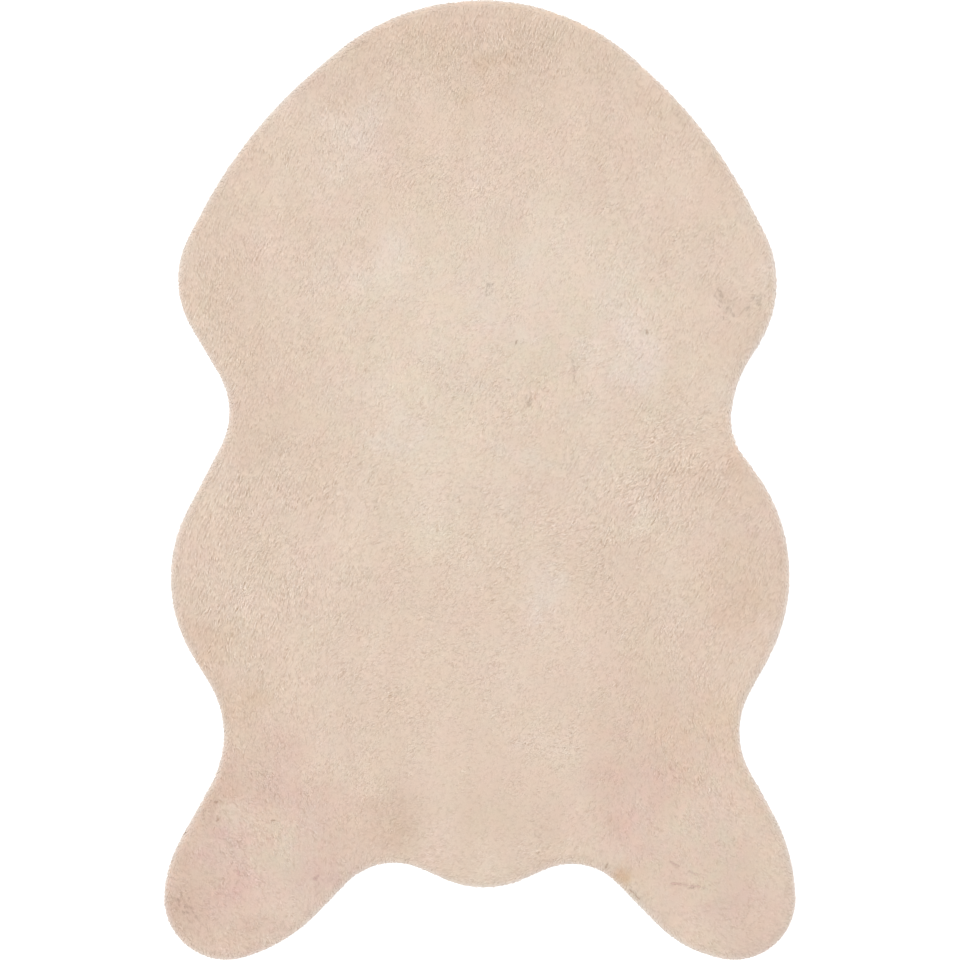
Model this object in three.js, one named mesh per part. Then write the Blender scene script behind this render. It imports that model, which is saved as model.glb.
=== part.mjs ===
// A hide-shaped faux fur rug: one piece of knitted cloth with a short plush pile, cut to the
// outline of an animal skin and lying flat.
//
// Units are millimetres. X runs across the rug, Y from the two feet up to the crown, and Z up
// from the floor. The origin is on the floor, under the middle of the rug's box.

import * as THREE from 'three';

// The cloth: the knitted ground lies on the floor, and the pile stands on it.
const GROUND_THICKNESS = 2;
const PILE_HEIGHT = 10;

// The edge: the pile swells past the cut ground, hangs over it and rolls up to the level nap.
const EDGE = {
  groundInset: 4, // the ground's cut edge lies this far inside the pile's reach
  bulgeHeight: 4.5, // where the pile reaches furthest out
  rollInset: 10, // where the roll meets the level nap
  lowerSteps: 2,
  upperSteps: 5,
};

// Facets along the outline: no more than this turn or this length in one of them.
const MAX_TURN = THREE.MathUtils.degToRad(6);
const MAX_FACET = 16;

const BULGE = 1;
const HOLLOW = -1;

// The outline, clockwise from the crown as seen from above. Each row is a round stretch of it:
// a bulge of the hide or a hollow between two bulges. Straight runs along the common tangents
// join them.
const OUTLINE = [
  { stretch: 'crown', x: 1, y: 238, radius: 212, bend: BULGE },
  { stretch: 'right flank', x: -138, y: 59, radius: 438, bend: BULGE },
  { stretch: 'right shoulder', x: 172, y: 185, radius: 105, bend: BULGE },
  { stretch: 'right upper waist, above', x: 333, y: 59, radius: 98, bend: HOLLOW },
  { stretch: 'right upper waist, below', x: 292, y: 58, radius: 58, bend: HOLLOW },
  { stretch: 'right hip', x: 125, y: -89, radius: 164, bend: BULGE },
  { stretch: 'right lower waist', x: 318, y: -236, radius: 76, bend: HOLLOW },
  { stretch: 'right leg', x: 120, y: -396, radius: 175, bend: BULGE },
  { stretch: 'right foot', x: 238, y: -392, radius: 57, bend: BULGE },
  { stretch: 'right foot, inner side', x: 245, y: -339, radius: 110, bend: BULGE },
  { stretch: 'right crotch', x: 85, y: -420, radius: 61, bend: HOLLOW },
  { stretch: 'tail', x: 3, y: -291, radius: 90, bend: BULGE },
  { stretch: 'left crotch', x: -81, y: -421, radius: 63, bend: HOLLOW },
  { stretch: 'left foot, inner side', x: -262, y: -302, radius: 150, bend: BULGE },
  { stretch: 'left foot', x: -238, y: -391, radius: 58, bend: BULGE },
  { stretch: 'left leg', x: -177, y: -395, radius: 119, bend: BULGE },
  { stretch: 'left lower waist', x: -335, y: -239, radius: 95, bend: HOLLOW },
  { stretch: 'left hip', x: -152, y: -92, radius: 138, bend: BULGE },
  { stretch: 'left upper waist', x: -305, y: 64, radius: 70, bend: HOLLOW },
  { stretch: 'left shoulder', x: -196, y: 188, radius: 87, bend: BULGE },
  { stretch: 'left flank', x: 134, y: 44, radius: 446, bend: BULGE },
];

// The inward direction, square to the straight run that leaves one stretch for the next. A
// point of a stretch lies at its centre less this direction times its signed radius.
function inwardAtRun(from, to) {
  const along = new THREE.Vector2(to.x - from.x, to.y - from.y);
  const distance = along.length();
  const growth = (to.radius * to.bend - from.radius * from.bend) / distance;
  if (Math.abs(growth) > 1) {
    throw new Error(`no common tangent from ${from.stretch} to ${to.stretch}`);
  }
  along.divideScalar(distance);
  const across = new THREE.Vector2(along.y, -along.x);
  return along.multiplyScalar(growth).addScaledVector(across, Math.sqrt(1 - growth * growth));
}

// The points of one stretch, each with the direction that points into the rug there.
function stretchPoints(stretch, inwardStart, inwardEnd) {
  const signedRadius = stretch.radius * stretch.bend;
  const start = inwardStart.angle();
  const fullTurn = 2 * Math.PI;
  const ahead = (inwardEnd.angle() - start) * -stretch.bend;
  const turn = ((ahead % fullTurn) + fullTurn) % fullTurn;
  const steps = Math.max(
    Math.ceil(turn / MAX_TURN),
    Math.ceil((turn * stretch.radius) / MAX_FACET),
    1,
  );
  const points = [];
  for (let step = 0; step <= steps; step += 1) {
    const angle = start - (stretch.bend * turn * step) / steps;
    const inward = new THREE.Vector2(Math.cos(angle), Math.sin(angle));
    const centre = new THREE.Vector2(stretch.x, stretch.y);
    points.push({ place: centre.addScaledVector(inward, -signedRadius), inward });
  }
  return points;
}

// The whole outline, anticlockwise, as places with their inward directions.
function outlinePoints(stretches) {
  const count = stretches.length;
  const inwards = stretches.map((from, i) => inwardAtRun(from, stretches[(i + 1) % count]));
  const points = stretches.flatMap((stretch, i) => (
    stretchPoints(stretch, inwards[(i + count - 1) % count], inwards[i])
  ));
  return points.reverse();
}

// The section of the edge, from the underside up to the level nap, as insets and heights: a
// quarter ellipse out to the bulge and another one up and inwards from it.
function edgeSection(edge, thickness) {
  const section = [];
  for (let step = 0; step < edge.lowerSteps; step += 1) {
    const angle = (Math.PI / 2) * (step / edge.lowerSteps);
    section.push({
      inset: edge.groundInset * (1 - Math.sin(angle)),
      height: edge.bulgeHeight * (1 - Math.cos(angle)),
    });
  }
  for (let step = 0; step <= edge.upperSteps; step += 1) {
    const angle = (Math.PI / 2) * (step / edge.upperSteps);
    section.push({
      inset: edge.rollInset * (1 - Math.cos(angle)),
      height: edge.bulgeHeight + (thickness - edge.bulgeHeight) * Math.sin(angle),
    });
  }
  return section;
}

// A closed body from rings of the outline, one for each point of the edge's section, with a
// flat cap over the lowest ring and over the highest one.
function slabGeometry(outline, section) {
  const count = outline.length;
  const rings = section.map(({ inset, height }) => outline.map(({ place, inward }) => {
    const { x, y } = place.clone().addScaledVector(inward, inset);
    return new THREE.Vector3(x, y, height);
  }));
  const faces = [];
  for (let ring = 0; ring + 1 < rings.length; ring += 1) {
    for (let i = 0; i < count; i += 1) {
      const low = ring * count + i;
      const lowNext = ring * count + ((i + 1) % count);
      faces.push(low, lowNext, lowNext + count, low, lowNext + count, low + count);
    }
  }
  const flat = (ring) => ring.map(({ x, y }) => new THREE.Vector2(x, y));
  const topStart = (rings.length - 1) * count;
  for (const [a, b, c] of THREE.ShapeUtils.triangulateShape(flat(rings[0]), [])) {
    faces.push(c, b, a);
  }
  for (const [a, b, c] of THREE.ShapeUtils.triangulateShape(flat(rings.at(-1)), [])) {
    faces.push(topStart + a, topStart + b, topStart + c);
  }
  const geometry = new THREE.BufferGeometry().setFromPoints(rings.flat());
  geometry.setIndex(faces);
  geometry.computeVertexNormals();
  return geometry;
}

// The rug: the cloth's slab, centred over the origin.
function makeRug() {
  const section = edgeSection(EDGE, GROUND_THICKNESS + PILE_HEIGHT);
  const geometry = slabGeometry(outlinePoints(OUTLINE), section);
  geometry.computeBoundingBox();
  const middle = geometry.boundingBox.getCenter(new THREE.Vector3());
  const fur = new THREE.MeshStandardMaterial({ color: '#e0cab9', roughness: 1, metalness: 0 });
  const rug = new THREE.Mesh(geometry, fur);
  rug.name = 'rug';
  rug.position.set(-middle.x, -middle.y, 0);
  return rug;
}

const object = new THREE.Group();
object.add(makeRug());

export default object;
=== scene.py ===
"""The looks of a hide-shaped faux fur rug, seen from straight above on a white studio floor.

The rug has a knitted ground, the dense lower part of its pile, and the pile's tufts, which are
combed over it and hang down round the edge. Everything is laid out from the CAD solid's outline.
Sizes are in metres, X runs across the rug, Y up to the crown and Z up from the floor.
"""

import copy
import math
from collections import namedtuple

import bmesh
import bpy
import numpy as np
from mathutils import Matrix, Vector, geometry, kdtree

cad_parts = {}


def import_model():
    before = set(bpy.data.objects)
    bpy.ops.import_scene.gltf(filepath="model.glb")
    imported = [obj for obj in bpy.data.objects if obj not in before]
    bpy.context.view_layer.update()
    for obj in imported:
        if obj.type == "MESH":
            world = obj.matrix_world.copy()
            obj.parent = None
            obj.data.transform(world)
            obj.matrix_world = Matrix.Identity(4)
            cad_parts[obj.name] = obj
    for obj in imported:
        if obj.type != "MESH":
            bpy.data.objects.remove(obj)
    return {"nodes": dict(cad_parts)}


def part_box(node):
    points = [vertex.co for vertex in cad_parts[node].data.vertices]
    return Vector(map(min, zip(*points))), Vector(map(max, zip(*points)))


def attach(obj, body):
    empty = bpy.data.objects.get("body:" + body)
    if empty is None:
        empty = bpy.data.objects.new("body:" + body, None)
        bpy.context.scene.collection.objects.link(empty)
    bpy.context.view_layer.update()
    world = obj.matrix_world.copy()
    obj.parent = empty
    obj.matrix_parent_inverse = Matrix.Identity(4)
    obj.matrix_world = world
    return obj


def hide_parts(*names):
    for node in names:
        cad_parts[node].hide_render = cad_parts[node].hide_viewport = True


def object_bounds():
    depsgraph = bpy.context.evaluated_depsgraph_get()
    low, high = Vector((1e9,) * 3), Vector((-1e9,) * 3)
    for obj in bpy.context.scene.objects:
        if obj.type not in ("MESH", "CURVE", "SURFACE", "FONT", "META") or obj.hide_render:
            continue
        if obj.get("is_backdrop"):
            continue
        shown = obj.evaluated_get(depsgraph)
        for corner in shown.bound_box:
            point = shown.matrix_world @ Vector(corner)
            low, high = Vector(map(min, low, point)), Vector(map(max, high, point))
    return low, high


# The edge's section, as in the CAD solid: the pile reaches furthest out at the bulge's height,
# the ground's cut edge lies inside that, and the roll above it meets the level nap.
BULGE_HEIGHT = 0.0045
GROUND_INSET = 0.004
ROLL_INSET = 0.010
GROUND_THICKNESS = 0.002

# The dense lower part of the pile, which starts a little way down in the ground.
BED_INSET = 0.0002  # how far it stays inside the rug's outline
BED_START = GROUND_THICKNESS - 0.0004
BED_TOP = 0.0117
BED_DIP = 0.00045  # how much lower its top is where the pile is ruffled

# The meshes of the ground and the bed: the ground's soft corners, how far apart the points
# round their edges are, and those of the bed's top and of the other level faces.
GROUND_CORNER = 0.0004
BED_POSTS = 0.003
GROUND_POSTS = 0.005
BED_GRID = 0.0056
LOWER_GRID = 0.02

# The tufts: broad ones that lie close together, thin locks of hair on top of them, and the ones
# that hang down round the edge. Relief is how high and how clear their ridges are, stray is how
# much of the nap's stray they show, lift is how far single ones rise or sink, and tone is how much
# their colours differ from one to the next, as a share.
TUFT_PIECES = 5
BROAD = {
    "spacing": 0.00250, "jitter": 0.42, "length": 0.0090, "longest": 1.2, "width": 0.0023,
    "relief": 0.16, "stray": 0.6, "lift": 0.00009, "tone": 0.005,
}
# The locks' tone is painted shade on the dark ones and painted light on the pale ones.
LOCKS = {
    "spacing": 0.00186, "jitter": 0.36, "length": 0.0049, "longest": 1.35, "width": 0.00076,
    "relief": 0.55, "stray": 1.0, "tone": 0.48,
}
LOCKS_INSET = 0.004  # how far inside the outline they start
LOCKS_ROOT = 0.0004  # how deep their roots are
LOCKS_RISE = 0.00025  # how much higher the middles of the strongest ones are
LOCKS_LEAST = 0.12  # the locks that stand out less than this are left out
LOCKS_SHADE = 0.060  # how much a group of locks darkens the pile, which the colours make up for with painted light
LOCK_GROUPS = {"mean": 0.34, "spread": 0.11, "size": 0.0055}  # how far they stand out
RIM = {
    "spacing": 0.00200, "length": 0.0070, "width": 0.0016, "relief": 0.7, "lift": 0.00012,
    "tone": 0.012,
}
RIM_REACH = 0.0235  # the length of the edge's section that is laid out row by row
RIM_OUTSET = 0.0008  # how far past the outline the tufts lie
RIM_DROOP = ((0.004, 0.012, RIM_REACH), (2.2, 1.1, 0.0))  # how much they turn outwards on it
RIM_FRINGE = 0.0024  # how far their tips stand out from the edge at most
RIM_FRINGE_FADES = ((0.009, 0.015), (1, 0))  # and where on the section that ends
RIM_PAINTED_LIGHT = 0.52  # how much paler the pile is painted at its cut edge: painted light for the light that comes through it
RIM_PAINTED_LIGHT_REACH = 0.0024  # how far in that goes
RIM_PAINTED_LIGHT_BELOW = 0.15  # the share of it that is left under the edge
RIM_PAINTED_LIGHT_COLOUR = np.array([1.0, 0.96, 0.92])  # the colour that this painted light goes towards
RIM_LOWEST = 0.0008  # how far above the floor the middles of its tufts and their ends stay
CLUMP_SPACING = 0.0085

# How deep below the nap the roots and middles of broad tufts and rim tufts lie in smooth pile,
# and how much deeper they lie in ruffled pile.
ROOT_DEPTH = 0.0009
MID_DEPTH = 0.0003
LEAST_HEIGHT = 0.0002  # nothing of a tuft is lower than this

OUTLINE_STEP = 0.001
SEED = 41

# Smooth random fields: how strong each is, the size of its patches, and its own seed.
Field = namedtuple("Field", "amount size seed")
SWIRLS = [Field(0.14, 0.055, SEED + 1), Field(0.10, 0.018, SEED + 2)]
RUFFLE_MEAN = 0.42
RUFFLE_FIELDS = [Field(0.10, 0.016, SEED + 3), Field(0.07, 0.05, SEED + 4)]
SWELL = Field(0.0003, 0.05, SEED + 5)
RAGGED_ACROSS = [Field(0.008, 0.030, SEED + 20), Field(0.003, 0.010, SEED + 22)]
RAGGED_UP = [Field(0.008, 0.030, SEED + 30), Field(0.003, 0.010, SEED + 32)]
CAP_SEED = SEED + 6
GROUP_SEED = SEED + 7
MOTTLE_SEED = SEED + 100

# The way the nap lies, from root to tip: degrees anticlockwise from +X, at places on the rug,
# with how far single tufts stray from it in radians.
Lie = namedtuple("Lie", "at x y heading stray")
NAP_REACH = 0.085  # how far round its place a row counts
NAP = [
    Lie("crown", 0.00, 0.39, -103, 0.16),
    Lie("left shoulder", -0.22, 0.20, -98, 0.10),
    Lie("upper middle", 0.00, 0.17, -123, 0.35),
    Lie("right shoulder", 0.22, 0.20, -120, 0.22),
    Lie("left hip", -0.22, -0.09, -106, 0.10),
    Lie("middle", 0.00, 0.00, -142, 0.40),
    Lie("right waist", 0.19, 0.02, -134, 0.18),
    Lie("left leg", -0.21, -0.24, -80, 0.50),
    Lie("lower middle", -0.03, -0.19, -167, 0.45),
    Lie("right hip", 0.23, -0.16, -112, 0.22),
    Lie("left foot", -0.22, -0.38, -40, 0.70),
    Lie("tail", 0.00, -0.34, -178, 0.50),
    Lie("right foot", 0.22, -0.38, -40, 0.60),
]

# A soft round patch of the fur, by its name or its tone: its middle, how far it reaches to the
# sides and along the rug, and how strong it is in the middle.
Patch = namedtuple("Patch", "name x y across up amount")

# Where the tufts stand up more than elsewhere, or lie sleeker.
RUFFLES = [
    Patch("crown", 0.01, 0.43, 0.16, 0.05, 0.45),
    Patch("left shoulder", -0.27, 0.14, 0.06, 0.14, 0.45),
    Patch("left flank", -0.22, -0.09, 0.10, 0.15, 0.46),
    Patch("right waist", 0.18, 0.01, 0.06, 0.06, 0.75),
    Patch("right middle", 0.12, -0.04, 0.08, 0.05, 0.40),
    Patch("right hip", 0.24, -0.18, 0.08, 0.10, 0.20),
    Patch("lower middle", 0.03, -0.27, 0.16, 0.10, -0.28),
    Patch("upper middle", 0.02, 0.19, 0.12, 0.09, -0.25),
    Patch("right foot", 0.22, -0.38, 0.12, 0.10, -0.25),
]

# The fur's colour (linear), and how much a tuft's own tone counts in red, green and blue.
FUR = (0.700, 0.557, 0.453)
TONE_WEIGHTS = (0.78, 1.0, 1.22)
COLOUR_NOISE = 0.002
RUFFLE_PAINTED_LIGHT = 0.10  # how much painted light the colours get to make up for the shade in ruffled pile

# What each tone does to the fur's colour, in shares of red, green and blue.
TONES = {
    "shade": (-0.042, -0.056, -0.071),
    "pale": (0.020, 0.065, 0.066),
    "cool": (0.022, 0.065, 0.125),
    "straw": (-0.012, 0.036, 0.020),
    "rust": (-0.050, -0.090, -0.130),
    "brown": (-0.090, -0.150, -0.170),
    "ochre": (-0.020, -0.110, -0.210),
    "rose": (-0.040, -0.095, -0.080),
    "mauve": (-0.040, -0.105, -0.070),
    "soil": (-0.260, -0.330, -0.370),
    "grey": (-0.150, -0.165, -0.175),
    "plum": (-0.070, -0.140, -0.100),
}

# Soft patches where the fur is paler, darker, rosier or browner, by tone.
PATCHES = [
    # the pale middle, a triangle that points down, with its brightest spots
    Patch("pale", 0.020, 0.190, 0.190, 0.110, 0.75),
    Patch("pale", -0.085, 0.140, 0.070, 0.110, 0.38),
    Patch("pale", 0.130, 0.120, 0.100, 0.100, 0.48),
    Patch("pale", -0.040, 0.030, 0.100, 0.130, 0.95),
    Patch("pale", 0.120, 0.010, 0.090, 0.070, 0.45),
    Patch("cool", -0.092, 0.205, 0.030, 0.045, 0.65),
    Patch("cool", 0.000, 0.160, 0.050, 0.050, 0.32),
    Patch("cool", 0.055, 0.220, 0.040, 0.060, 0.45),
    Patch("cool", 0.145, 0.120, 0.040, 0.045, 0.95),
    Patch("cool", 0.125, 0.195, 0.035, 0.040, 0.45),
    Patch("cool", -0.115, 0.320, 0.040, 0.040, 0.80),
    Patch("cool", 0.035, 0.010, 0.025, 0.040, 0.45),
    Patch("cool", 0.060, -0.104, 0.025, 0.030, 0.90),
    Patch("cool", 0.270, 0.220, 0.025, 0.045, 1.10),
    Patch("cool", -0.010, 0.275, 0.022, 0.020, 0.50),
    Patch("cool", -0.070, 0.055, 0.018, 0.035, 0.50),
    Patch("cool", 0.061, 0.150, 0.020, 0.025, 0.45),
    Patch("cool", -0.150, 0.195, 0.016, 0.030, 0.20),
    Patch("cool", 0.056, -0.244, 0.020, 0.025, 0.40),
    Patch("pale", -0.042, -0.050, 0.045, 0.030, 0.40),
    Patch("pale", -0.155, 0.150, 0.028, 0.050, 0.20),
    Patch("pale", 0.141, -0.033, 0.024, 0.024, 1.00),
    Patch("pale", 0.018, -0.368, 0.030, 0.020, 0.10),
    Patch("pale", 0.014, -0.368, 0.045, 0.022, 0.45),
    # the crown, the shoulders and the left waist
    Patch("shade", 0.010, 0.415, 0.200, 0.080, 1.10),
    Patch("rust", -0.070, 0.415, 0.060, 0.030, 0.45),
    Patch("rust", 0.005, 0.390, 0.035, 0.035, 0.40),
    Patch("shade", -0.240, 0.190, 0.060, 0.120, 0.65),
    Patch("shade", -0.210, 0.040, 0.060, 0.060, 0.70),
    Patch("shade", -0.200, 0.304, 0.035, 0.030, 0.65),
    Patch("shade", 0.141, 0.347, 0.035, 0.030, 0.80),
    Patch("shade", 0.224, 0.172, 0.014, 0.020, 1.00),
    Patch("shade", 0.235, 0.158, 0.020, 0.014, 0.60),
    Patch("shade", -0.141, 0.225, 0.035, 0.035, 0.35),
    Patch("pale", -0.216, -0.113, 0.060, 0.040, 0.30),
    Patch("pale", 0.225, 0.093, 0.028, 0.030, 0.55),
    Patch("pale", 0.267, 0.175, 0.018, 0.025, 0.45),
    # the right waist and hip
    Patch("rust", 0.230, 0.010, 0.030, 0.040, 1.00),
    Patch("rust", 0.245, -0.115, 0.050, 0.060, 1.00),
    Patch("mauve", 0.270, -0.045, 0.025, 0.040, 0.50),
    Patch("cool", 0.270, -0.140, 0.020, 0.045, 0.80),
    Patch("shade", 0.225, -0.076, 0.025, 0.022, 0.70),
    # above the right foot, and the foot
    Patch("shade", 0.150, -0.202, 0.040, 0.025, 0.70),
    Patch("straw", 0.206, -0.335, 0.032, 0.028, 0.90),
    Patch("mauve", 0.219, -0.393, 0.012, 0.012, 0.80),
    Patch("rose", 0.136, -0.325, 0.016, 0.016, 0.80),
    Patch("rose", 0.143, -0.270, 0.045, 0.080, 1.10),
    Patch("rust", 0.200, -0.230, 0.060, 0.070, 0.70),
    Patch("rose", 0.180, -0.340, 0.060, 0.060, 0.52),
    Patch("mauve", 0.240, -0.402, 0.055, 0.055, 0.66),
    Patch("brown", 0.125, -0.365, 0.025, 0.020, 0.60),
    Patch("ochre", 0.124, -0.370, 0.014, 0.016, 1.00),
    Patch("ochre", 0.238, -0.245, 0.025, 0.035, 0.20),
    # the left hip's edge, the left foot and the tail
    Patch("rust", -0.255, -0.160, 0.030, 0.045, 0.90),
    Patch("rust", -0.215, -0.210, 0.040, 0.040, 0.95),
    Patch("rose", -0.200, -0.270, 0.055, 0.045, 1.00),
    Patch("brown", -0.250, -0.295, 0.025, 0.045, 0.90),
    Patch("mauve", -0.235, -0.370, 0.060, 0.080, 0.88),
    Patch("brown", -0.280, -0.400, 0.045, 0.070, 1.22),
    Patch("brown", -0.210, -0.425, 0.050, 0.022, 0.30),
    Patch("brown", -0.240, -0.260, 0.028, 0.055, 0.30),
    Patch("mauve", -0.150, -0.355, 0.055, 0.050, 1.05),
    Patch("rose", -0.145, -0.300, 0.050, 0.025, 0.70),
    Patch("brown", -0.085, -0.318, 0.030, 0.040, 0.64),
    Patch("shade", -0.020, -0.310, 0.160, 0.060, 0.60),
    Patch("shade", 0.018, -0.244, 0.035, 0.030, 0.55),
    Patch("shade", -0.094, -0.132, 0.035, 0.025, 0.40),
    Patch("shade", 0.000, 0.335, 0.040, 0.025, 0.35),
    Patch("cool", 0.047, 0.010, 0.025, 0.022, 0.35),
    Patch("cool", -0.140, 0.290, 0.025, 0.022, 0.35),
    Patch("pale", -0.010, -0.085, 0.045, 0.022, 0.40),
    Patch("straw", -0.187, -0.346, 0.036, 0.034, 1.30),
    Patch("rose", -0.216, -0.291, 0.030, 0.024, 0.50),
    Patch("mauve", -0.241, -0.326, 0.018, 0.016, 0.60),
    Patch("mauve", -0.172, -0.288, 0.030, 0.012, 0.45),
    Patch("mauve", -0.235, -0.378, 0.016, 0.020, 0.30),
    Patch("mauve", -0.200, -0.415, 0.030, 0.016, 0.45),
    Patch("mauve", -0.136, -0.366, 0.014, 0.012, 0.60),
    Patch("rust", -0.270, -0.318, 0.012, 0.020, 0.80),
    Patch("rust", 0.008, 0.376, 0.024, 0.022, 1.10),
]

# Small marks: soiled locks, and short creases whose shade is painted as lines of dark locks. Each
# row is a line, this long and turned this many degrees from +X, with this many thin locks that lie
# along it and stray this far from it.
Mark = namedtuple("Mark", "tone x y turn long stray locks")
MARKS = [
    Mark("grey", 0.223, 0.173, -62, 0.016, 0.0090, 14),
    Mark("grey", 0.257, 0.164, 62, 0.018, 0.0120, 16),
    Mark("grey", 0.234, 0.158, 75, 0.010, 0.0120, 10),
    Mark("soil", 0.156, 0.140, -90, 0.008, 0.0010, 4),
    Mark("soil", 0.034, 0.129, 60, 0.002, 0.0010, 3),
    Mark("grey", 0.083, 0.116, -53, 0.014, 0.0018, 4),
    Mark("grey", 0.088, 0.098, -88, 0.024, 0.0018, 6),
    Mark("grey", 0.009, 0.178, 80, 0.010, 0.0060, 8),
    Mark("grey", 0.044, 0.072, 70, 0.010, 0.0060, 7),
    Mark("soil", 0.118, -0.361, 70, 0.003, 0.0006, 9),
    Mark("soil", 0.145, -0.388, -45, 0.012, 0.0010, 9),
    # Lines at the right foot where the fur creases: painted shade, as dark locks.
    Mark("plum", 0.195, -0.379, -7, 0.032, 0.0012, 14),
    Mark("grey", 0.197, -0.381, -4, 0.006, 0.0010, 3),
    Mark("plum", 0.190, -0.363, -25, 0.028, 0.0012, 9),
    Mark("soil", -0.247, -0.301, 30, 0.002, 0.0015, 3),
    Mark("soil", -0.245, -0.318, 75, 0.003, 0.0015, 3),
    Mark("soil", -0.193, -0.318, 10, 0.002, 0.0015, 3),
    Mark("soil", -0.278, -0.333, 55, 0.006, 0.0010, 5),
    Mark("grey", -0.274, -0.399, -60, 0.022, 0.0120, 18),
    Mark("plum", -0.226, -0.366, -80, 0.008, 0.0010, 5),
    Mark("plum", -0.153, -0.371, 30, 0.006, 0.0020, 4),
]
MARK = {
    "length": 0.0042, "width": 0.0009, "relief": 0.5, "depths": (0.0002, -0.0007, -0.0003),
}

# Random mottling on top: patches of each size, with how strong their changes are of shade, of
# rosy against green, and of straw against violet. The shade's patches are streaks along the rug,
# and the others' changes are stronger in some places.
MOTTLE = [
    {"size": 0.0040, "shade": 0.003, "rosy": 0.0046, "straw": 0.0027},
    {"size": 0.0085, "shade": 0.008, "rosy": 0.0066, "straw": 0.0040},
    {"size": 0.022, "shade": 0.016, "rosy": 0.0064, "straw": 0.0047},
    {"size": 0.050, "shade": 0.012, "rosy": 0.0044, "straw": 0.0038},
]
MOTTLE_STREAK = 0.36
LIVELY_ELSEWHERE = 0.85
LIVELY = [
    Patch("left foot", -0.210, -0.340, 0.110, 0.110, 0.90),
    Patch("right leg and foot", 0.190, -0.320, 0.130, 0.140, 1.00),
    Patch("pale middle", 0.020, 0.140, 0.220, 0.160, 0.55),
]
MOTTLE_TONES = {
    "shade": (0.42, 0.56, 0.71),
    "rosy": (0.89, -0.39, -0.22),
    "straw": (0.15, 0.73, -0.66),
}

# The map from above and the map of the tufts' faces leave these margins.
MAP_MARGIN = 0.01
CELL_MARGIN = 0.04

# The studio: a floor that glows a little, so that the rug has no dark edges, a white dome and a
# round lamp. The picture shows a little more than the rug's length.
FLOOR_HALF = 4.0
FLOOR_GLOW = 0.6
DOME_STRENGTH = 0.931
LAMP = {"place": (-1.0, 1.1, 4.2), "size": 2.0, "energy": 55.6}
PICTURE_MARGIN = 0.0015


# ---- the outline and the section


def signed_area(places):
    """The area inside a closed line, below 0 if it runs clockwise."""
    x, y = places.T
    return 0.5 * np.sum(x * np.roll(y, -1) - y * np.roll(x, -1))


def widest_ring(node):
    """The CAD solid's points at the bulge's height, anticlockwise."""
    mesh = bmesh.new()
    mesh.from_mesh(node.data)
    bmesh.ops.remove_doubles(mesh, verts=mesh.verts, dist=1e-6)
    ring = {v for v in mesh.verts if abs(v.co.z - BULGE_HEIGHT) < 1e-5}
    start = min(ring, key=lambda v: v.co.x)
    places, before, here = [], None, start
    while before is None or here is not start:
        places.append(here.co.xy[:])
        beside = [edge.other_vert(here) for edge in here.link_edges]
        before, here = here, next(v for v in beside if v in ring and v is not before)
    mesh.free()
    places = np.array(places)
    return places if signed_area(places) > 0 else places[::-1]


def evenly_spaced(places, step):
    """A closed line's points, as far apart as step and rounded off a little at the corners."""
    closed = np.vstack((places, places[:1]))
    reached = np.concatenate(([0], np.cumsum(np.linalg.norm(np.diff(closed, axis=0), axis=1))))
    count = round(reached[-1] / step)
    along = np.arange(count) * reached[-1] / count
    line = np.interp(along, reached, closed[:, 0]) + 1j * np.interp(along, reached, closed[:, 1])
    waves = np.fft.fftfreq(count, step)
    rounding = np.exp(-2 * (math.pi * waves * 2.5 * step) ** 2)
    line = np.fft.ifft(np.fft.fft(line) * rounding)
    return np.column_stack((line.real, line.imag))


def search_tree(places):
    """A tree that finds the nearest of these places."""
    tree = kdtree.KDTree(len(places))
    for i, (x, y) in enumerate(places):
        tree.insert((x, y, 0), i)
    tree.balance()
    return tree


def nearest(tree, places):
    """The number of the tree's place that is nearest to each of these places."""
    return np.array([tree.find((x, y, 0))[1] for x, y in places])


class Outline:
    """The rug's outline from above, as even points with the directions that point inwards."""

    def __init__(self, node):
        self.places = evenly_spaced(widest_ring(node), OUTLINE_STEP)
        ahead = np.roll(self.places, -1, axis=0) - np.roll(self.places, 1, axis=0)
        ahead /= np.linalg.norm(ahead, axis=1)[:, None]
        self.inwards = np.column_stack((-ahead[:, 1], ahead[:, 0]))
        self.length = len(self.places) * OUTLINE_STEP
        self.tree = search_tree(self.places)

    def at(self, along):
        """The places and inward directions at these distances along the outline."""
        steps = np.mod(along / OUTLINE_STEP, len(self.places))
        low = steps.astype(int) % len(self.places)
        high = (low + 1) % len(self.places)
        share = (steps - np.floor(steps))[:, None]
        places = self.places[low] * (1 - share) + self.places[high] * share
        inwards = self.inwards[low] * (1 - share) + self.inwards[high] * share
        return places, inwards

    def depth(self, places):
        """How far inside the outline these places are, and the inward direction there."""
        beside = nearest(self.tree, places)
        offset = places - self.places[beside]
        side = np.sign(np.sum(offset * self.inwards[beside], axis=1))
        return np.linalg.norm(offset, axis=1) * side, self.inwards[beside]


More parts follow.
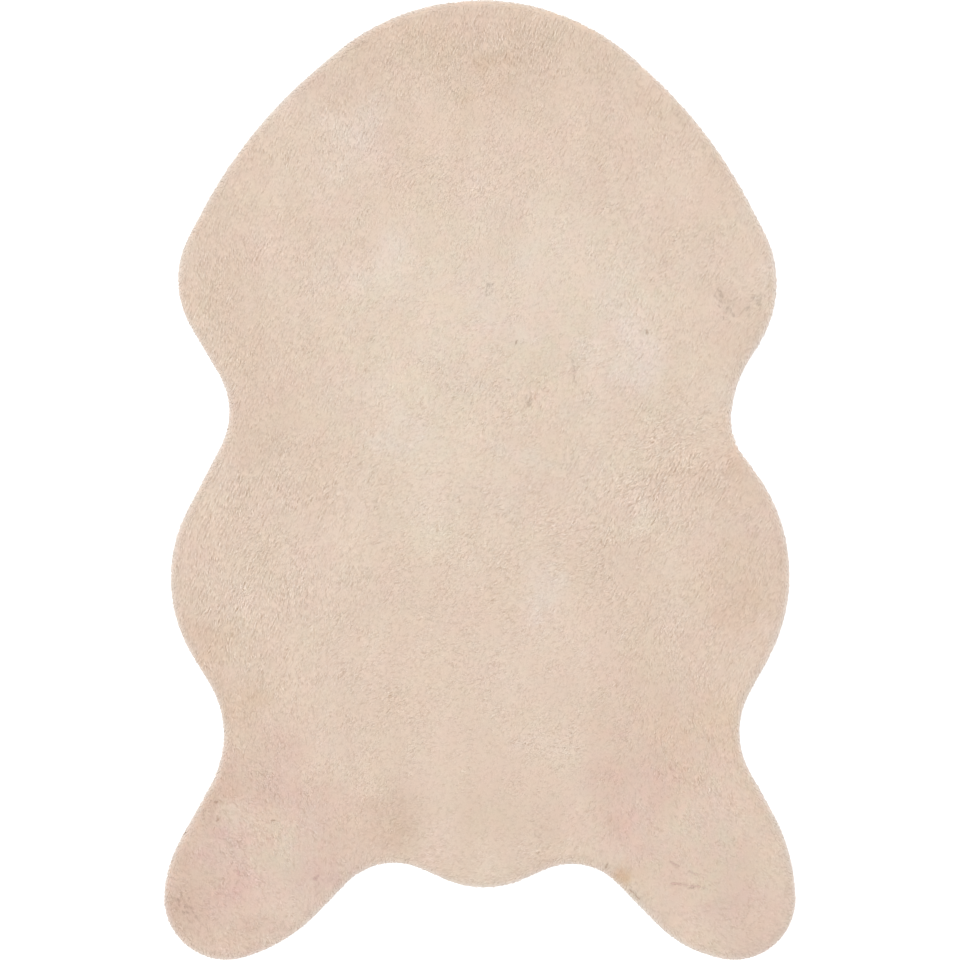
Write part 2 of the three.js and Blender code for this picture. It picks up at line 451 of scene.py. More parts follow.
class Section:
    """The section of the edge, by the distance round it from the underside: two quarter
    ellipses, out to the bulge, which is this inset from the outline, and back in to the top."""

    def __init__(self, bottom, top, inset=0.0):
        turn = np.linspace(0, math.pi / 2, 40)
        rise, fall = np.sin(turn), np.cos(turn)
        lower = np.column_stack((
            inset + (GROUND_INSET - inset) * (1 - rise),
            bottom + (BULGE_HEIGHT - bottom) * (1 - fall),
        ))
        upper = np.column_stack((
            inset + ROLL_INSET * (1 - fall),
            BULGE_HEIGHT + (top - BULGE_HEIGHT) * rise,
        ))
        points = np.vstack((lower, upper[1:]))
        steps = np.linalg.norm(np.diff(points, axis=0), axis=1)
        self.round = np.concatenate(([0], np.cumsum(steps)))
        self.insets, self.heights = points.T
        self.top = top
        self.inset = inset

    def at(self, distance):
        """Insets and heights at these distances round the section, level past its end."""
        past = np.maximum(distance - self.round[-1], 0)
        insets = np.interp(distance, self.round, self.insets) + past
        return insets, np.interp(distance, self.round, self.heights)

    def height(self, depth):
        """The height of the upper surface this far inside the outline."""
        share = np.clip(1 - (depth - self.inset) / ROLL_INSET, 0, 1)
        return BULGE_HEIGHT + (self.top - BULGE_HEIGHT) * np.sqrt(1 - share**2)


def on_surface(outline, section, along, distance):
    """Points of the pile's surface, from distances along the outline and round the section."""
    places, inwards = outline.at(along)
    insets, heights = section.at(np.maximum(distance, 0))
    plan = places + inwards * insets[:, None]
    return np.column_stack((plan, heights))


# ---- random fields


def soft_field(places, size, seed, waves=28):
    """A smooth random field over the rug, with a spread of 1 and patches about this size."""
    rng = np.random.default_rng(seed)
    total = np.zeros(len(places))
    for _ in range(waves):
        heading, phase = rng.uniform(0, 2 * math.pi, 2)
        pitch = 2 * math.pi / (size * rng.uniform(1.3, 3.2))
        run = places[:, 0] * math.cos(heading) + places[:, 1] * math.sin(heading)
        total += np.cos(run * pitch + phase)
    return total * math.sqrt(2 / waves)


def added(start, places, fields):
    """The start with random fields added to it."""
    for field in fields:
        start = start + field.amount * soft_field(places, field.size, field.seed)
    return start


def jittered_grid(low, high, spacing, jitter, rng):
    """Places on staggered rows that fill a box, each moved a little at random, and which of
    them are odd: every other one along a row, and the others again two rows on."""
    across = np.arange(low[0], high[0], spacing)
    up = np.arange(low[1], high[1], spacing)
    column, row = (grid.ravel() for grid in np.meshgrid(np.arange(len(across)), np.arange(len(up))))
    places = np.column_stack((across[column] + row % 2 * spacing / 2, up[row]))
    places += rng.uniform(-jitter, jitter, places.shape) * spacing
    return places, (column + row // 2) % 2 == 1


# ---- the nap


def pointing(heading):
    """The directions from above with these headings, in radians."""
    return np.column_stack((np.cos(heading), np.sin(heading)))


def nap_heading(places):
    """The way the nap lies at these places and how far tufts stray from it, in radians."""
    way, stray, total = np.zeros((len(places), 2)), 0, 0
    for row in NAP:
        away = np.hypot(places[:, 0] - row.x, places[:, 1] - row.y)
        weight = np.exp(-((away / NAP_REACH) ** 2) / 2) + 1e-6
        heading = math.radians(row.heading)
        way += weight[:, None] * (math.cos(heading), math.sin(heading))
        stray = stray + weight * row.stray
        total = total + weight
    return np.arctan2(way[:, 1], way[:, 0]) + added(0, places, SWIRLS), stray / total


def nap_swell(places, depth):
    """How much higher the nap is at these places, with soft humps that fade out at the edge."""
    return added(0, places, [SWELL]) * np.clip(depth / 0.03 - 0.3, 0, 1)


def ragged(places):
    """Places moved about a little, which makes the edges of soft patches uneven."""
    shifts = [added(0, places, fields) for fields in (RAGGED_ACROSS, RAGGED_UP)]
    return places + np.column_stack(shifts)


def soft_patches(places, rows):
    """How far each row's soft patch covers these places, from 0 to its amount."""
    places = ragged(places)
    for row in rows:
        away = np.hypot((places[:, 0] - row.x) / row.across, (places[:, 1] - row.y) / row.up)
        yield row, row.amount * np.exp(-2 * away**2)


def ruffle(places):
    """How ruffled the pile is, from 0.15 where it is sleek to 1.4 where tufts stand out most."""
    rough = added(RUFFLE_MEAN, places, RUFFLE_FIELDS)
    for _, share in soft_patches(places, RUFFLES):
        rough = rough + share
    return np.clip(rough, 0.15, 1.4)


class Clumps:
    """Small clumps of tufts that lean together."""

    def __init__(self, outline, rng):
        low, high = outline.places.min(0) - 0.02, outline.places.max(0) + 0.02
        self.places, _ = jittered_grid(low, high, CLUMP_SPACING, 0.42, rng)
        self.turn = rng.normal(0, 0.12, len(self.places))
        self.lift = rng.normal(0, 1, len(self.places))
        self.tree = search_tree(self.places)


# ---- the tufts


def laid(ends, ups, depths):
    """The root, mid and tip of tufts that lie along the nap, from the nap's points under them
    and how deep each part is below it."""
    return {
        part: end - up * depth[:, None]
        for part, end, up, depth in zip(("root", "mid", "tip"), ends, ups, depths)
    }


def tuft_depths(rough, lift, past=0.0):
    """How deep the root, middle and tip of tufts are below the nap: deeper where the pile is
    ruffled, and less deep for tufts that are lifted or whose tips stand out past it."""
    root = ROOT_DEPTH + ROOT_DEPTH * rough
    mid = MID_DEPTH + MID_DEPTH * rough - lift
    return root, mid, -past - 1.3 * lift


def build_of(layer, rough, rng):
    """Half the width of each tuft of a layer, and how far its ridge stands up."""
    half = layer["width"] / 2 * rng.uniform(0.75, 1.3, len(rough))
    return {
        "half": half,
        "hump": half * (0.2 + 0.4 * rough) * layer["relief"],
        "relief": 0.5 * rough * layer["relief"] ** 2,
    }


def uneven_tone(layer, rough, rng):
    """A random tone for each tuft, which differs more where the pile is ruffled."""
    return layer["tone"] * (0.3 + 0.7 * rough) * rng.normal(0, 1, len(rough))


class NapPlaces:
    """Places on the level nap, with how far inside the outline they are."""

    def __init__(self, outline, section, places):
        self.section, self.places = section, places
        self.depth, self.inwards = outline.depth(places)
        self.rough = ruffle(places)

    def only(self, kept):
        """Just some of the places."""
        some = copy.copy(self)
        for name in ("places", "depth", "inwards", "rough"):
            setattr(some, name, getattr(self, name)[kept])
        return some

    def inside(self, points):
        """How far inside the outline these points near the places are."""
        return self.depth + np.sum((points - self.places) * self.inwards, axis=1)

    def surface(self, points):
        """The nap's points above these points near the places."""
        inside = self.inside(points)
        return np.column_stack((points, self.section.height(inside) + nap_swell(points, inside)))

    def combed_tips(self, clumps, layer, rng):
        """The tips of tufts that lie along the nap and lean together with their clump."""
        count = len(self.places)
        clump = nearest(clumps.tree, self.places)
        heading, stray = nap_heading(self.places)
        heading = heading + clumps.turn[clump] * self.rough
        heading = heading + stray * layer["stray"] * rng.normal(0, 1, count)
        way = pointing(heading)
        length = layer["length"] * rng.uniform(0.7, layer["longest"], count)
        tips = self.places + way * length[:, None]
        aside = np.column_stack((-way[:, 1], way[:, 0]))
        middles = clumps.places[clump] + way * layer["length"]
        towards = np.clip(np.sum((middles - tips) * aside, axis=1), -0.004, 0.004)
        return tips + aside * (0.15 * self.rough * towards)[:, None]

    def tufts(self, tips, depths):
        """Tufts from the places to these tips, at these depths below the nap."""
        mids = self.places + (tips - self.places) * 0.46 + 0.0002 * unit(tips - self.places)
        up = np.tile((0.0, 0.0, 1.0), (len(tips), 1))
        ends = [self.surface(points) for points in (self.places, mids, tips)]
        return laid(ends, (up, up, up), depths) | {"up": up}


def broad_tufts(outline, section, clumps, rng):
    """The broad tufts that cover the level part."""
    low, high = outline.places.min(0), outline.places.max(0)
    grid, _ = jittered_grid(low, high, BROAD["spacing"], BROAD["jitter"], rng)
    nap = NapPlaces(outline, section, grid)
    nap = nap.only(nap.depth > ROLL_INSET + 0.002)
    rough = nap.rough
    tips = nap.combed_tips(clumps, BROAD, rng)
    lift = clumps.lift[nearest(clumps.tree, nap.places)] + rng.normal(0, 1, len(rough))
    lift = BROAD["lift"] * rough * lift
    tufts = nap.tufts(tips, tuft_depths(rough, lift)) | build_of(BROAD, rough, rng)
    return tufts | {"tone": uneven_tone(BROAD, rough, rng)}


def lock_groups(places):
    """Where locks stand out from the nap in little groups."""
    field = Field(LOCK_GROUPS["spread"], LOCK_GROUPS["size"], GROUP_SEED)
    return np.clip(added(LOCK_GROUPS["mean"], places, [field]), 0.04, 1.2)


def stand_out(nap, rng):
    """How much each lock stands out from the nap."""
    ruffled = 0.25 + 0.75 * nap.rough
    return lock_groups(nap.places) * ruffled * rng.uniform(0, 1.6, len(nap.places))


def standing_locks(outline, section, clumps, rng):
    """Thin locks that stand out from the broad tufts, dark and pale ones by turns: the dark ones'
    colour is painted shade and the pale ones' painted light.
    """
    low, high = outline.places.min(0), outline.places.max(0)
    grid, painted_light = jittered_grid(low, high, LOCKS["spacing"], LOCKS["jitter"], rng)
    nap = NapPlaces(outline, section, grid)
    strength = stand_out(nap, rng)
    kept = (nap.depth > LOCKS_INSET) & (strength > LOCKS_LEAST)
    nap, strength, painted_light = nap.only(kept), strength[kept], painted_light[kept]
    tips = nap.combed_tips(clumps, LOCKS, rng)
    root = np.full(len(tips), LOCKS_ROOT)
    tufts = nap.tufts(tips, (root, root / 8 - LOCKS_RISE * strength, root / 8))
    tufts.update(build_of(LOCKS, nap.rough, rng))
    # Painted light on the pale locks and painted shade on the dark ones, stronger where they stand
    # out.
    tufts["tone"] = LOCKS["tone"] * strength * np.where(painted_light, 0.9 * nap.rough ** 0.3, -0.95)
    inside = nap.inside(tips) > LOCKS_INSET / 2
    return {key: value[inside] for key, value in tufts.items()}


def mark_locks(outline, section, rng):
    """The locks of the small marks, with the tone of each as shares of red, green and blue."""
    rows = [row for row in MARKS for _ in range(row.locks)]
    places = np.array([(row.x, row.y) for row in rows])
    line = np.radians([row.turn for row in rows])
    along = rng.uniform(-0.5, 0.5, len(rows)) * [row.long for row in rows]
    places = places + pointing(line) * along[:, None]
    stray = np.array([row.stray for row in rows])
    places += rng.uniform(-0.5, 0.5, places.shape) * stray[:, None]
    heading = line + rng.normal(0, 0.2, len(rows))
    length = MARK["length"] * rng.uniform(0.7, 1.3, len(rows))
    reach = pointing(heading) * length[:, None]
    nap = NapPlaces(outline, section, places - reach / 2)
    same = np.zeros(len(rows))
    tufts = nap.tufts(places + reach / 2, [same + depth for depth in MARK["depths"]])
    tufts = tufts | build_of(MARK, nap.rough, rng) | {"tone": same}
    return tufts, np.array([TONES[row.tone] for row in rows])


def rim_tufts(outline, section, rng):
    """The tufts round the edge, which hang outwards and down to the floor."""
    rows = np.arange(0.0006, RIM_REACH, RIM["spacing"])
    posts = np.arange(0, outline.length, RIM["spacing"])
    along, distance = (grid.ravel() for grid in np.meshgrid(posts, rows))
    count = len(along)
    along = along + rng.uniform(-0.5, 0.5, count) * RIM["spacing"]
    distance = np.maximum(distance + rng.uniform(-0.42, 0.42, count) * RIM["spacing"], 0.0002)
    surface = on_surface(outline, section, along, distance)
    _, inwards = outline.at(along)
    rough = ruffle(surface[:, :2])
    heading = nap_heading(surface[:, :2])[0] + rng.normal(0, 0.12, count)
    way = pointing(heading)
    droop = np.interp(distance, *RIM_DROOP)
    outwards = droop - np.sum(way * inwards, axis=1)
    onwards = way[:, 0] * inwards[:, 1] - way[:, 1] * inwards[:, 0]
    size = np.hypot(outwards, onwards)
    outwards, onwards = outwards / size, onwards / size
    length = RIM["length"] * rng.uniform(0.7, 1.1, count)
    length = np.minimum(length, np.maximum(distance, 0.0025))
    ends, ups = [], []
    for share in (0, 0.48, 1):
        place = along + onwards * length * share, distance - outwards * length * share
        ends.append(on_surface(outline, section, *place))
        ups.append(surface_normals(outline, section, *place))
    lift = rough * RIM["lift"] * rng.normal(0, 1, count)
    fringe = RIM_FRINGE * np.interp(distance, *RIM_FRINGE_FADES) * rng.uniform(0, 1, count) ** 2
    tufts = laid(ends, ups, tuft_depths(rough, lift, fringe))
    for end in tufts.values():
        end[:, 2] = np.maximum(end[:, 2], RIM_LOWEST)
    tufts = tufts | build_of(RIM, rough, rng) | {"tone": uneven_tone(RIM, rough, rng)}
    return tufts | {"up": unit(0.4 * ups[1] + (0.0, 0.0, 1.0))}


def surface_normals(outline, section, along, distance):
    """The pile surface's outward normals at these places."""
    nudge = 0.0004
    here = on_surface(outline, section, along, distance)
    up_section = on_surface(outline, section, along, distance + nudge) - here
    up_section[np.linalg.norm(up_section, axis=1) < 1e-9] = (0, 0, 1)
    onwards = on_surface(outline, section, along + nudge, distance) - here
    normals = np.cross(onwards, up_section)
    return normals / np.linalg.norm(normals, axis=1)[:, None]


def unit(vectors):
    """The vectors at length 1."""
    return vectors / np.maximum(np.linalg.norm(vectors, axis=-1, keepdims=True), 1e-12)


def tuft_points(tufts):
    """Each tuft as a slim bent spindle: its root, the left, right and ridge points round its
    middle, and its tip. With them come soft normals."""
    axis = unit(tufts["tip"] - tufts["root"])
    up = tufts["up"]
    right = unit(np.cross(axis, up))
    ridge = unit(np.cross(right, axis))
    half, hump = tufts["half"][:, None], tufts["hump"][:, None]
    left_point = tufts["mid"] - right * half - ridge * hump * 0.6
    right_point = tufts["mid"] + right * half - ridge * hump * 0.6
    ridge_point = tufts["mid"] + ridge * hump
    points = np.stack((tufts["root"], left_point, right_point, ridge_point, tufts["tip"]), axis=1)
    points[:, :, 2] = np.maximum(points[:, :, 2], LEAST_HEIGHT)
    relief = tufts["relief"][:, None]
    normals = np.stack((
        up,
        unit(up - right * relief),
        unit(up + right * relief),
        up,
        unit(up + axis * relief * 0.3),
    ), axis=1)
    return points, normals


# Round the spindle: its faces, by the numbers of the points, seen from outside.
ROOT, LEFT, RIGHT, RIDGE, TIP = range(5)
TUFT_FACES = [
    (TIP, LEFT, RIDGE), (TIP, RIDGE, RIGHT), (TIP, RIGHT, LEFT),
    (ROOT, RIDGE, LEFT), (ROOT, RIGHT, RIDGE), (ROOT, LEFT, RIGHT),
]
# The same faces flat on a cell of the map, which has the tuft's length up it.
TUFT_MAP = [
    *(((k / 3 + 1 / 6, 1), (k / 3, 0.5), ((k + 1) / 3, 0.5)) for k in range(3)),
    *(((k / 3 + 1 / 6, 0), ((k + 1) / 3, 0.5), (k / 3, 0.5)) for k in range(3)),
]


def mesh_object(name, points, faces):
    """A new object with this mesh, smooth shaded."""
    mesh = bpy.data.meshes.new(name)
    mesh.vertices.add(len(points))
    mesh.vertices.foreach_set("co", np.asarray(points, np.float32).ravel())
    faces = np.asarray(faces, np.int32)
    mesh.loops.add(faces.size)
    mesh.loops.foreach_set("vertex_index", faces.ravel())
    mesh.polygons.add(len(faces))
    mesh.polygons.foreach_set("loop_start", np.arange(0, faces.size, 3, dtype=np.int32))
    mesh.update(calc_edges=True)
    mesh.validate()
    mesh.shade_smooth()
    obj = bpy.data.objects.new(name, mesh)
    bpy.context.scene.collection.objects.link(obj)
    return obj


def set_tint(obj, colours):
    """The fur's colour at each vertex."""
    attribute = obj.data.attributes.new("tint", "FLOAT_COLOR", "POINT")
    rgba = np.column_stack((colours, np.ones(len(colours)))).astype(np.float32)
    attribute.data.foreach_set("color", rgba.ravel())


def set_map(obj, uv):
    """The flat map of the surface, a place for each corner of each face."""
    layer = obj.data.uv_layers.new(name="OFBake")
    layer.uv.foreach_set("vector", np.asarray(uv, np.float32).ravel())


def map_from_above(obj):
    """A flat map as seen from above, with the faces that look down in a half of their own."""
    mesh = obj.data
    places = vertex_places(obj)
    low, size = places.min(0), np.ptp(places, axis=0).max()
    normals = np.zeros(len(mesh.polygons) * 3, np.float32)
    mesh.polygons.foreach_get("normal", normals)
    corners = np.zeros(len(mesh.loops), np.int32)
    mesh.loops.foreach_get("vertex_index", corners)
    uv = MAP_MARGIN + (1 - 2 * MAP_MARGIN) * (places - low) / size
    uv = uv[corners].reshape(-1, 3, 2)
    uv[..., 0] *= 0.5
    uv[normals[2::3] < 0, :, 0] += 0.5
    set_map(obj, uv)


def tuft_piece(name, points, normals, colours, material):
    """One mesh of many tufts."""
    count = len(points)
    faces = np.array(TUFT_FACES)[None] + 5 * np.arange(count)[:, None, None]
    obj = mesh_object(name, points.reshape(-1, 3), faces.reshape(-1, 3))
    across = math.ceil(math.sqrt(count))
    cells = np.column_stack((np.arange(count) % across, np.arange(count) // across))
    faces_map = CELL_MARGIN + (1 - 2 * CELL_MARGIN) * np.array(TUFT_MAP)[None]
    uv = (cells[:, None, None] + faces_map) / across
    set_map(obj, uv)
    set_tint(obj, np.repeat(colours, 5, axis=0))
    obj.data.normals_split_custom_set_from_vertices(normals.reshape(-1, 3))
    obj.data.materials.append(material)
    return obj


# ---- the ground and the pile bed


def slab(name, outline, section_points, post_spacing, cap_spacing, wobble):
    """A closed body inside the outline: rings for its edge, a level cap below, and one above
    that wobbles, on a grid of its own."""
    posts = np.arange(0, outline.length, post_spacing)
    places, inwards = outline.at(posts)
    count = len(posts)
    rings = [
        np.column_stack((places + inwards * inset, np.full(count, height)))
        for inset, height in section_points
    ]
    side = []
    following = np.roll(np.arange(count), -1)
    for ring in range(len(rings) - 1):
        low, high = ring * count, (ring + 1) * count
        for i, j in enumerate(following):
            side += [(low + i, low + j, high + j), (low + i, high + j, high + i)]
    points = [np.vstack(rings)]
    faces = [np.array(side)]
    total = count * len(rings)
    for ring, spacing, below in ((0, LOWER_GRID, True), (len(rings) - 1, cap_spacing, False)):
        inset, height = section_points[ring]
        inner, triangles = cap(outline, rings[ring][:, :2], inset, spacing)
        inner = np.column_stack((inner, np.full(len(inner), height)))
        if not below:
            inner[:, 2] += wobble(inner[:, :2])
        numbers = np.concatenate((ring * count + np.arange(count), total + np.arange(len(inner))))
        triangles = numbers[triangles]
        faces.append(triangles[:, ::-1] if below else triangles)
        points.append(inner)
        total += len(inner)
    obj = mesh_object(name, np.vstack(points), np.vstack(faces))
    map_from_above(obj)
    return obj


def cap(outline, ring, inset, spacing):
    """Grid points inside a ring, and the triangles that join them and the ring."""
    rng = np.random.default_rng(CAP_SEED)
    grid, _ = jittered_grid(ring.min(0), ring.max(0), spacing, 0.42, rng)
    depth, _ = outline.depth(grid)
    grid = grid[depth > inset + spacing * 0.5]
    points = [Vector(p) for p in np.vstack((ring, grid))]
    edges = [(i, (i + 1) % len(ring)) for i in range(len(ring))]
    placed, _, faces, *_ = geometry.delaunay_2d_cdt(points, edges, [], 1, 1e-7)
    if len(placed) != len(points):
        raise RuntimeError("the cap's triangles moved its points")
    faces = np.array(faces)
    a, b, c = (np.array([tuple(p) for p in placed])[faces[:, k]] for k in range(3))
    area = (b - a)[:, 0] * (c - a)[:, 1] - (b - a)[:, 1] * (c - a)[:, 0]
    faces[area < 0] = faces[area < 0][:, ::-1]
    return grid, faces


def pile_bed(outline):
    """The dense lower part of the pile."""
    section = Section(BED_START, BED_TOP, BED_INSET)
    distances = np.linspace(0, section.round[-1], 9)
    section_points = np.column_stack(section.at(distances))

    def wobble(places):
        depth, _ = outline.depth(places)
        inner = np.clip((depth - 0.012) / 0.01, 0, 1)
        return nap_swell(places, depth) - BED_DIP * (ruffle(places) - 0.45) * inner

    bed = slab("rug_pile_bed", outline, section_points, BED_POSTS, BED_GRID, wobble)
    bed.data.materials.append(bed_material())
    set_tint(bed, fur_colours(vertex_places(bed)))
    return bed


def knitted_ground(outline):
    """The knitted ground that the pile stands on."""
    section_points = np.array([
        (GROUND_INSET + GROUND_CORNER, 0),
        (GROUND_INSET, GROUND_CORNER),
        (GROUND_INSET, GROUND_THICKNESS - GROUND_CORNER),
        (GROUND_INSET + GROUND_CORNER, GROUND_THICKNESS),
    ])
    grids = GROUND_POSTS, LOWER_GRID
    ground = slab("rug_ground", outline, section_points, *grids, lambda places: 0)
    ground.data.materials.append(ground_material())
    return ground


# ---- colours and materials


def fur_colours(places):
    """The fur's colour at these places, with its soft patches and mottling, and painted light that
    makes up for the shade of ruffled pile and of groups of locks.
    """
    colours = np.tile(FUR, (len(places), 1))
    # Painted light: paler colours where the pile is ruffled and where locks stand in groups, making
    # up for their shade.
    colours *= 1 + RUFFLE_PAINTED_LIGHT * (ruffle(places)[:, None] - 0.4)
    colours *= 1 + LOCKS_SHADE * (lock_groups(places)[:, None] - LOCK_GROUPS["mean"])
    for patch, share in soft_patches(places, PATCHES):
        colours *= 1 + share[:, None] * np.array(TONES[patch.name])
    for share, tone in mottling(places):
        colours *= 1 + share[:, None] * np.array(tone)
    return colours


def mottling(places):
    """The random mottling at these places: how strong each change is, and its tone."""
    lively = LIVELY_ELSEWHERE
    for _, share in soft_patches(places, LIVELY):
        lively = lively + share
    for number, row in enumerate(MOTTLE):
        for place, (name, tone) in enumerate(MOTTLE_TONES.items()):
            seed = MOTTLE_SEED + 10 * number + place
            if name == "shade":
                field = soft_field(places * (1, MOTTLE_STREAK), row["size"], seed)
            else:
                field = 1.2 * lively * np.tanh(1.6 * soft_field(places, row["size"], seed))
            yield row[name] * field, tone


def set_inputs(node, values):
    """Set a node's own inputs to these values."""
    for name, value in values.items():
        node.inputs[name].default_value = value


def add_node(tree, kind, **settings):
    """A new shader node with these settings."""
    node = tree.nodes.new("ShaderNode" + kind)
    for name, value in settings.items():
        setattr(node, name, value)
    return node


def ranged(tree, value, low, high):
    """A value from 0 to 1, turned into one between these two."""
    node = add_node(tree, "MapRange")
    set_inputs(node, {"To Min": low, "To Max": high})
    tree.links.new(value, node.inputs["Value"])
    return node.outputs["Result"]


def tint_times(tree, factor):
    """The fur's colour at each vertex, times a factor."""
    tint = add_node(tree, "Attribute", attribute_name="tint")
    product = add_node(tree, "VectorMath", operation="SCALE")
    tree.links.new(tint.outputs["Color"], product.inputs[0])
    tree.links.new(factor, product.inputs["Scale"])
    return product.outputs["Vector"]


def new_material(name, finish):
    """A new material with this finish, its node tree and its Principled shader."""
    material = bpy.data.materials.new(name)
    material.use_nodes = True
    shader = material.node_tree.nodes["Principled BSDF"]
    set_inputs(shader, finish)
    return material, material.node_tree, shader


def tuft_material():
    """Soft matt fibres, finely streaked along each tuft."""
    material, tree, shader = new_material("fur_tufts", {
        "Roughness": 0.85,
        "Specular IOR Level": 0.15,
        "Sheen Weight": 0.15,
        "Sheen Roughness": 0.6,
    })
    uv = add_node(tree, "UVMap", uv_map="OFBake")
    stretch = add_node(tree, "Mapping")
    set_inputs(stretch, {"Scale": (1500, 170, 1)})
    fibres = add_node(tree, "TexNoise")
    set_inputs(fibres, {"Scale": 1, "Detail": 1})
    tree.links.new(uv.outputs["UV"], stretch.inputs["Vector"])
    tree.links.new(stretch.outputs["Vector"], fibres.inputs["Vector"])
    streaks = ranged(tree, fibres.outputs["Fac"], 0.96, 1.04)
    tree.links.new(tint_times(tree, streaks), shader.inputs["Base Color"])
    return material


def bed_material():
    """The pile's lower part: the fur's colour with painted shade, as it lies under the tufts,
    mottled by the fibres in it.
    """
    finish = {"Roughness": 0.95, "Specular IOR Level": 0.1}
    material, tree, shader = new_material("fur_bed", finish)
    place = add_node(tree, "TexCoord")
    fibres = add_node(tree, "TexNoise")
    set_inputs(fibres, {"Scale": 500, "Detail": 3})
    tree.links.new(place.outputs["Object"], fibres.inputs["Vector"])
    # Painted shade: the range is below 1, darker than the tufts, with the fibres' mottling in it.
    shade_and_mottle = ranged(tree, fibres.outputs["Fac"], 0.935, 0.995)
    tree.links.new(tint_times(tree, shade_and_mottle), shader.inputs["Base Color"])
    return material


def ground_material():
    """The knitted ground: pale beige yarn with fine ribs of stitches."""
    material, tree, shader = new_material("knit_ground", {"Roughness": 0.95})
    place = add_node(tree, "TexCoord")
    ribs = add_node(tree, "TexWave")
    set_inputs(ribs, {"Scale": 180, "Distortion": 1.5, "Detail Scale": 4})
    yarn = add_node(tree, "ValToRGB")
    yarn.color_ramp.elements[0].color = (0.55, 0.47, 0.39, 1)
    yarn.color_ramp.elements[1].color = (0.68, 0.58, 0.49, 1)
    relief = add_node(tree, "Bump")
    set_inputs(relief, {"Distance": 0.0003, "Strength": 0.6})
    tree.links.new(place.outputs["Object"], ribs.inputs["Vector"])
    tree.links.new(ribs.outputs["Fac"], yarn.inputs["Fac"])
    tree.links.new(ribs.outputs["Fac"], relief.inputs["Height"])
    tree.links.new(yarn.outputs["Color"], shader.inputs["Base Color"])
    tree.links.new(relief.outputs["Normal"], shader.inputs["Normal"])
    return material


# ---- the studio


def studio_floor():
    """A white floor, well past the camera's view, that glows a little to soften shadows."""
    near, far = -FLOOR_HALF, FLOOR_HALF
    corners = [(near, near, 0), (far, near, 0), (far, far, 0), (near, far, 0)]
    mesh = bpy.data.meshes.new("floor")
    mesh.from_pydata(corners, [], [(0, 1, 2, 3)])
    floor = bpy.data.objects.new("floor", mesh)
    floor.location.z = -0.0002
    bpy.context.scene.collection.objects.link(floor)
    mesh.materials.append(floor_material())
    floor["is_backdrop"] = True


def floor_material():
    """A matt white with the faintest grain."""
    material, tree, shader = new_material("floor_white", {
        "Roughness": 0.9,
        "Emission Color": (1, 1, 1, 1),
        "Emission Strength": FLOOR_GLOW,
    })
    grain = add_node(tree, "TexNoise")
    set_inputs(grain, {"Scale": 3})
    tone = ranged(tree, grain.outputs["Fac"], 0.94, 0.96)
    tree.links.new(tone, shader.inputs["Base Color"])
    return material


def studio_light():
    """A white dome, and a large soft lamp high up and a little to the upper left."""
    world = bpy.data.worlds.new("dome")
    world.use_nodes = True
    background = world.node_tree.nodes["Background"]
    set_inputs(background, {"Color": (1, 1, 1, 1), "Strength": DOME_STRENGTH})
    bpy.context.scene.world = world
    light = bpy.data.lights.new("softbox", "AREA")
    light.shape = "DISK"
    light.size = LAMP["size"]
    light.energy = LAMP["energy"]
    lamp = bpy.data.objects.new("softbox", light)
    lamp.location = LAMP["place"]
    lamp.rotation_euler = (-lamp.location).to_track_quat("-Z", "Y").to_euler()
    bpy.context.scene.collection.objects.link(lamp)


def overhead_camera():
    """A camera straight above, with the rug's length filling the picture."""
    camera = bpy.data.cameras.new("camera")
    camera.lens = 85
    camera.sensor_width = 36
    view = bpy.data.objects.new("camera", camera)
    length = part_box("rug")[1].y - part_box("rug")[0].y + PICTURE_MARGIN
    view.location.z = BULGE_HEIGHT + length * camera.lens / camera.sensor_width
    bpy.context.scene.collection.objects.link(view)
    bpy.context.scene.camera = view
    bpy.context.scene.view_settings.view_transform = "Standard"


# ---- the rug


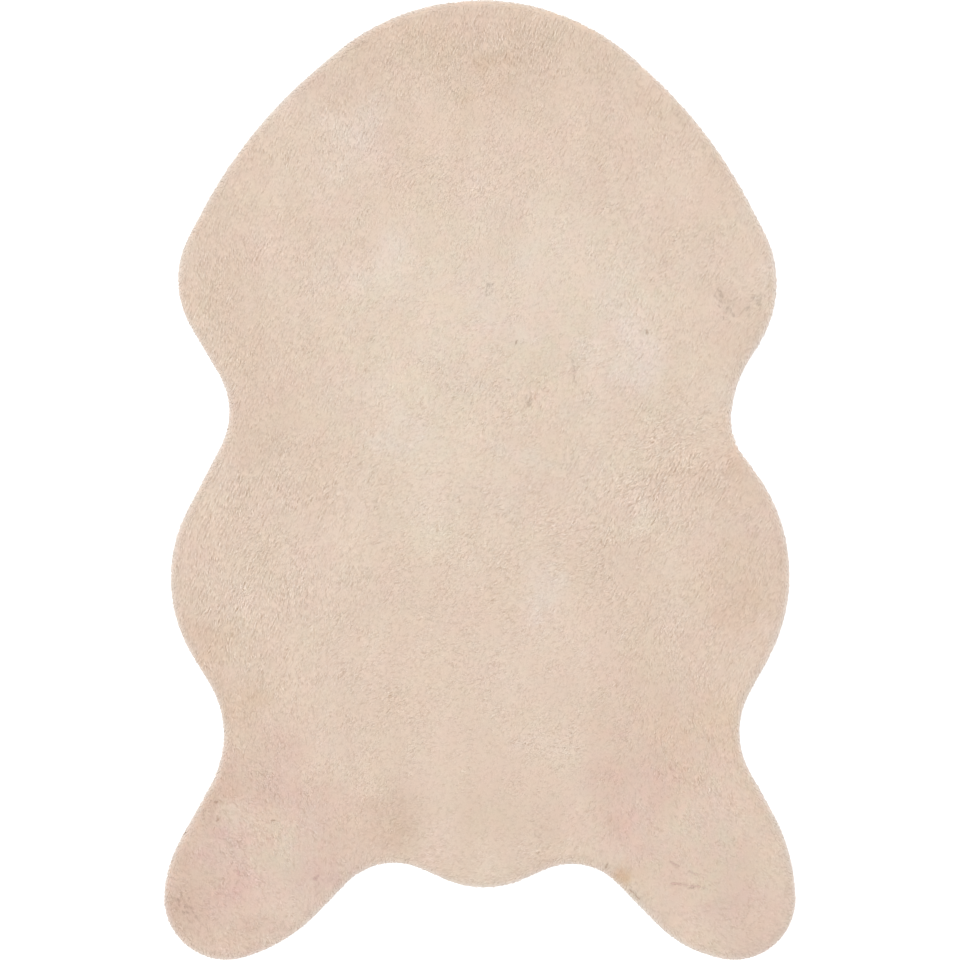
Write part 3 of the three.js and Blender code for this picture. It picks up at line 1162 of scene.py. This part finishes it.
def tuft_colours(outline, tufts, mark_tones, rng):
    """Each tuft's colour. It is painted paler near the cut edge, as painted light, and the last
    tufts are the marks'.
    """
    colours = fur_colours(tufts["mid"][:, :2])
    colours *= 1 + tufts["tone"][:, None] * TONE_WEIGHTS
    colours *= 1 + COLOUR_NOISE * rng.normal(0, 1, colours.shape)
    depth, _ = outline.depth(tufts["mid"][:, :2])
    # Painted light at the cut edge, for the light that comes through the fringe.
    painted_light = RIM_PAINTED_LIGHT * np.exp(-np.maximum(depth, 0) / RIM_PAINTED_LIGHT_REACH)
    under = np.interp(tufts["mid"][:, 2], (0.5 * BULGE_HEIGHT, BULGE_HEIGHT), (RIM_PAINTED_LIGHT_BELOW, 1))
    colours += (RIM_PAINTED_LIGHT_COLOUR - colours) * (painted_light * under)[:, None]
    colours[-len(mark_tones):] *= 1 + mark_tones
    return colours


def fur_tufts(outline, thickness):
    """All the tufts, shared out over a few pieces that each cover the whole rug."""
    rng = np.random.default_rng(SEED)
    section = Section(0.0, thickness, -RIM_OUTSET)
    clumps = Clumps(outline, rng)
    marks, mark_tones = mark_locks(outline, section, rng)
    layers = [
        broad_tufts(outline, section, clumps, rng),
        standing_locks(outline, section, clumps, rng),
        rim_tufts(outline, section, rng),
        marks,
    ]
    tufts = {key: np.concatenate([layer[key] for layer in layers]) for key in layers[0]}
    points, normals = tuft_points(tufts)
    colours = tuft_colours(outline, tufts, mark_tones, rng)
    material = tuft_material()
    pieces = []
    for part in range(TUFT_PIECES):
        own = slice(part, None, TUFT_PIECES)
        name = f"rug_tufts_{part + 1}"
        pieces.append(tuft_piece(name, points[own], normals[own], colours[own], material))
    return pieces


def vertex_places(obj):
    """An object's vertices from above."""
    points = np.zeros(len(obj.data.vertices) * 3, np.float32)
    obj.data.vertices.foreach_get("co", points)
    return points.reshape(-1, 3)[:, :2].astype(float)


def build_rug(frame):
    """The rug's pieces, in place of the CAD solid."""
    outline = Outline(frame["nodes"]["rug"])
    low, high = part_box("rug")
    ground = knitted_ground(outline)
    bed = pile_bed(outline)
    tufts = fur_tufts(outline, high.z - low.z)
    for piece in (ground, bed, *tufts):
        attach(piece, "root")
    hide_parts("rug")
    area = signed_area(outline.places)


def main():
    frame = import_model()
    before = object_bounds()
    studio_floor()
    studio_light()
    build_rug(frame)
    overhead_camera()
    boxes = {"cad": before, "visual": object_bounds()}
    {key: [list(corner) for corner in box] for key, box in boxes.items()}


main()
